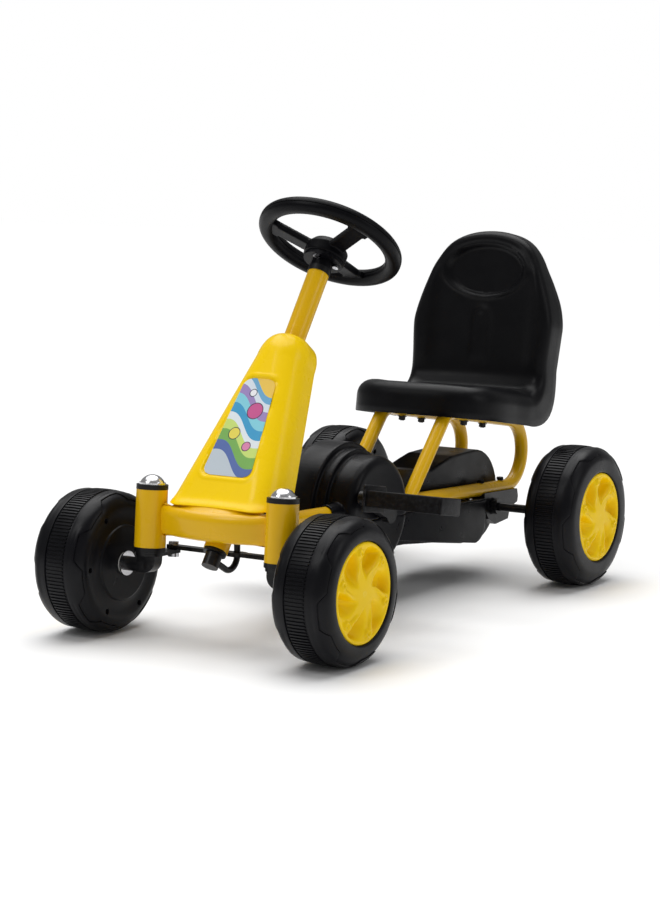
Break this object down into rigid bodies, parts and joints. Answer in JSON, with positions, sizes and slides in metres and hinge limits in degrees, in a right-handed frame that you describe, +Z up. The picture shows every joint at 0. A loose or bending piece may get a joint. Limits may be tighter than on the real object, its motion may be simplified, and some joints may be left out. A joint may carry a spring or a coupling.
{
  "type": "pedal go kart",
  "caption": "Child's pedal kart: bent tube frame, column cowl, steering linkage, chain drive under a guard, moulded seat and chunky plastic wheels.",
  "frame": {"origin": "on the ground, below the middle of the kart's bounding box", "axes": "+X to the driver's left, -Y the way the kart drives, +Z up"},
  "size_m": [0.461, 0.829, 0.5449],
  "materials": {
    "yellow_paint": "gloss powder coat",
    "yellow_shell": "gloss moulded",
    "yellow_cap": "gloss moulded",
    "wheel_plastic": "satin blow moulded",
    "badge": "printed film",
    "seat_plastic": "fine grain",
    "guard_plastic": "fine grain",
    "wheel_rim_plastic": "satin",
    "pedal_plastic": "satin",
    "chrome": "polished",
    "black_bush": "satin",
    "white_bush": "satin",
    "dark_steel": "oiled",
    "zinc_steel": "zinc plated",
    "black_paint": "satin black paint"
  },
  "bodies": {
    "chassis": {"front_beam": "yellow_paint", "kingpin_sleeve_left": "yellow_paint", "kingpin_sleeve_right": "yellow_paint", "column_tube": "yellow_paint", "frame_tube_left": "yellow_paint", "frame_tube_right": "yellow_paint", "cowl": "yellow_shell", "cowl_badge": "badge", "cowl_screws": "zinc_steel", "kingpin_bushes": "black_bush", "column_bush_upper": "black_bush", "column_bush_lower": "black_bush", "crank_housing_left": "yellow_paint", "crank_housing_right": "yellow_paint", "crank_bushes": "white_bush", "rear_bracket_left": "black_paint", "rear_bracket_right": "black_paint", "axle_bushes": "black_bush", "bracket_bolts": "dark_steel", "chain": "dark_steel", "guard_upper": "guard_plastic", "guard_lower": "guard_plastic", "guard_screws": "zinc_steel", "seat": "seat_plastic", "seat_bolts": "dark_steel", "seat_nuts": "dark_steel"},
    "steering": {"steering_shaft": "black_paint", "steering_rod": "black_paint", "steering_wheel": "wheel_rim_plastic", "steering_hub": "wheel_rim_plastic", "steering_screws": "zinc_steel"},
    "knuckle_left": {"knuckle_left": "black_paint", "kingpin_nut_left": "chrome", "front_nut_left": "chrome"},
    "knuckle_right": {"knuckle_right": "black_paint", "kingpin_nut_right": "chrome", "front_nut_right": "chrome"},
    "front_wheel_left": {"front_tyre_left": "wheel_plastic", "front_hubcap_left": "yellow_cap", "front_bushes_left": "white_bush"},
    "front_wheel_right": {"front_tyre_right": "wheel_plastic", "front_hubcap_right": "yellow_cap", "front_bushes_right": "white_bush"},
    "tie_rod": {"tie_rod": "black_paint", "tie_rod_bolts": "zinc_steel"},
    "rear_axle": {"rear_axle": "black_paint", "rear_tyre_left": "wheel_plastic", "rear_tyre_right": "wheel_plastic", "rear_hubcap_left": "yellow_cap", "rear_hubcap_right": "yellow_cap", "axle_sprocket": "dark_steel", "axle_collars": "black_paint", "axle_nuts": "zinc_steel"},
    "crank": {"crank_shaft": "black_paint", "crank_arm_left": "black_paint", "crank_arm_right": "black_paint", "crank_sprocket": "dark_steel"},
    "pedal_left": {"pedal_left": "pedal_plastic"},
    "pedal_right": {"pedal_right": "pedal_plastic"}
  },
  "joints": [
    {"name": "steer", "type": "hinge", "parent": "chassis", "child": "steering", "pos_m": [0, -0.15839, 0.34475], "axis": [0, 0.5783, 0.8158], "range_deg": [-30, 30]},
    {"name": "kingpin_left", "type": "hinge", "parent": "chassis", "child": "knuckle_left", "pos_m": [0.0974, -0.31955, 0.1498], "axis": [0, 0.0819, 0.9966], "range_deg": [-27, 27]},
    {"name": "kingpin_right", "type": "hinge", "parent": "chassis", "child": "knuckle_right", "pos_m": [-0.0974, -0.31955, 0.1498], "axis": [0, 0.0819, 0.9966], "range_deg": [-27, 27]},
    {"name": "tie_rod_pivot", "type": "hinge", "parent": "knuckle_left", "child": "tie_rod", "pos_m": [0.0974, -0.27244, 0.10659], "axis": [0, 0.0819, 0.9966], "range_deg": [-27, 27]},
    {"name": "front_wheel_left_spin", "type": "hinge", "parent": "knuckle_left", "child": "front_wheel_left", "pos_m": [0.1764, -0.32447, 0.09], "axis": [1, 0, 0], "continuous": true},
    {"name": "front_wheel_right_spin", "type": "hinge", "parent": "knuckle_right", "child": "front_wheel_right", "pos_m": [-0.1764, -0.32447, 0.09], "axis": [1, 0, 0], "continuous": true},
    {"name": "rear_axle_spin", "type": "hinge", "parent": "chassis", "child": "rear_axle", "pos_m": [0, 0.27913, 0.0973], "axis": [1, 0, 0], "continuous": true},
    {"name": "crank_spin", "type": "hinge", "parent": "chassis", "child": "crank", "pos_m": [0, -0.0485, 0.1351], "axis": [1, 0, 0], "continuous": true},
    {"name": "pedal_left_spin", "type": "hinge", "parent": "crank", "child": "pedal_left", "pos_m": [0.15, -0.10947, 0.16288], "axis": [1, 0, 0], "continuous": true},
    {"name": "pedal_right_spin", "type": "hinge", "parent": "crank", "child": "pedal_right", "pos_m": [-0.15, 0.01247, 0.10732], "axis": [1, 0, 0], "continuous": true}
  ],
  "couplings": [
    {"joint": "kingpin_left", "follows": "steer", "ratio": 0.8847},
    {"joint": "kingpin_right", "follows": "steer", "ratio": 0.8847},
    {"joint": "tie_rod_pivot", "follows": "steer", "ratio": -0.8847},
    {"joint": "crank_spin", "follows": "rear_axle_spin", "ratio": 0.66667}
  ]
}
